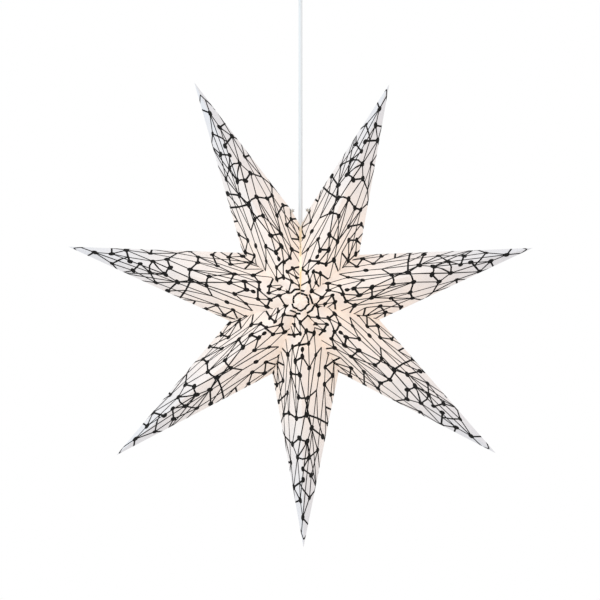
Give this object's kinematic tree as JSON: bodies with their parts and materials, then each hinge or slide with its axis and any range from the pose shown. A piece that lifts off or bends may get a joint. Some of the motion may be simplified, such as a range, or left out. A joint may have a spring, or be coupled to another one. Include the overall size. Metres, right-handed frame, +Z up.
{
  "type": "advent star lamp",
  "caption": "Hanging advent star lamp of folded, printed paper points around a small bulb on a white cord, with a ceiling cup; the star folds flat like a fan.",
  "frame": {"origin": "the point where the lamp's suspension hook hangs on the ceiling's own hook", "axes": "+Z up along the cord, +X to the right and -Y towards the viewer of the star's front"},
  "size_m": [0.5823, 0.149, 0.7825],
  "materials": {
    "paper": "matte",
    "eyelet": "satin",
    "seam_tape": "matte",
    "wire": "satin",
    "cord_sheath": "satin",
    "live_sheath": "satin",
    "neutral_sheath": "satin",
    "white_plastic": "satin",
    "nylon": "matte",
    "ceramic_white": "gloss",
    "steel": "satin",
    "brass": "satin",
    "cap_metal": "satin",
    "black_glass": "gloss",
    "opal": "satin",
    "board": "matte",
    "led": "gloss"
  },
  "bodies": {
    "ceiling": {"suspension_hook": "nylon", "clamp_plate": "nylon", "clamp_screws": "steel", "terminal_block": "nylon", "block_screws": "steel", "live_lead": "live_sheath", "neutral_lead": "neutral_sheath", "cord": "cord_sheath"},
    "cup": {"ceiling_cup": "white_plastic", "cup_grip": "nylon", "cup_nut": "nylon", "cup_screw": "steel"},
    "lamp": {"holder_cap": "white_plastic", "cord_bush": "nylon", "bush_screw": "steel", "holder_shell": "white_plastic", "contact_block": "ceramic_white", "terminal_screws": "steel", "screw_sleeve": "brass", "centre_contact": "brass", "live_core": "live_sheath", "neutral_core": "neutral_sheath", "wire_hanger": "wire", "point_bottom": "paper"},
    "bulb": {"bulb_cap": "cap_metal", "bulb_insulator": "black_glass", "bulb_tip": "brass", "bulb_base": "white_plastic", "bulb_globe": "opal", "led_board": "board", "led_chips": "led"},
    "top_left": {"point_top_left": "paper", "eyelet_left": "eyelet", "seam_hook_pads": "seam_tape"},
    "left": {"point_left": "paper"},
    "lower_left": {"point_lower_left": "paper"},
    "lower_right": {"point_lower_right": "paper"},
    "right": {"point_right": "paper"},
    "top_right": {"point_top_right": "paper", "eyelet_right": "eyelet", "seam_loop_pads": "seam_tape"}
  },
  "joints": [
    {"name": "cup_slide", "type": "slide", "parent": "ceiling", "child": "cup", "axis": [0, 0, -1], "range_m": [0, 0.12]},
    {"name": "turn", "type": "hinge", "parent": "ceiling", "child": "lamp", "pos_m": [0, 0, -0.456], "axis": [0, 0, 1], "range_deg": [-180, 180], "stiffness_Nm_per_rad": 0.002},
    {"name": "bulb_withdraw", "type": "slide", "parent": "lamp", "child": "bulb", "axis": [0, 0, -1], "range_m": [0, 0.036]},
    {"name": "fold", "type": "hinge", "parent": "lamp", "child": "top_right", "pos_m": [0, 0, -0.456], "axis": [0, 1, 0], "range_deg": [0, 145.29], "deforming": ["point_top_left", "point_left", "point_lower_left", "point_bottom", "point_lower_right", "point_right", "point_top_right"]},
    {"name": "fold_right", "type": "hinge", "parent": "lamp", "child": "right", "pos_m": [0, 0, -0.456], "axis": [0, 1, 0], "range_deg": [0, 96.86]},
    {"name": "fold_lower_right", "type": "hinge", "parent": "lamp", "child": "lower_right", "pos_m": [0, 0, -0.456], "axis": [0, 1, 0], "range_deg": [0, 48.43]},
    {"name": "fold_lower_left", "type": "hinge", "parent": "lamp", "child": "lower_left", "pos_m": [0, 0, -0.456], "axis": [0, 1, 0], "range_deg": [-48.43, 0]},
    {"name": "fold_left", "type": "hinge", "parent": "lamp", "child": "left", "pos_m": [0, 0, -0.456], "axis": [0, 1, 0], "range_deg": [-96.86, 0]},
    {"name": "fold_top_left", "type": "hinge", "parent": "lamp", "child": "top_left", "pos_m": [0, 0, -0.456], "axis": [0, 1, 0], "range_deg": [-145.29, 0]}
  ],
  "couplings": [
    {"joint": "fold_right", "follows": "fold", "ratio": 0.66667},
    {"joint": "fold_lower_right", "follows": "fold", "ratio": 0.33333},
    {"joint": "fold_lower_left", "follows": "fold", "ratio": -0.33333},
    {"joint": "fold_left", "follows": "fold", "ratio": -0.66667},
    {"joint": "fold_top_left", "follows": "fold", "ratio": -1}
  ]
}
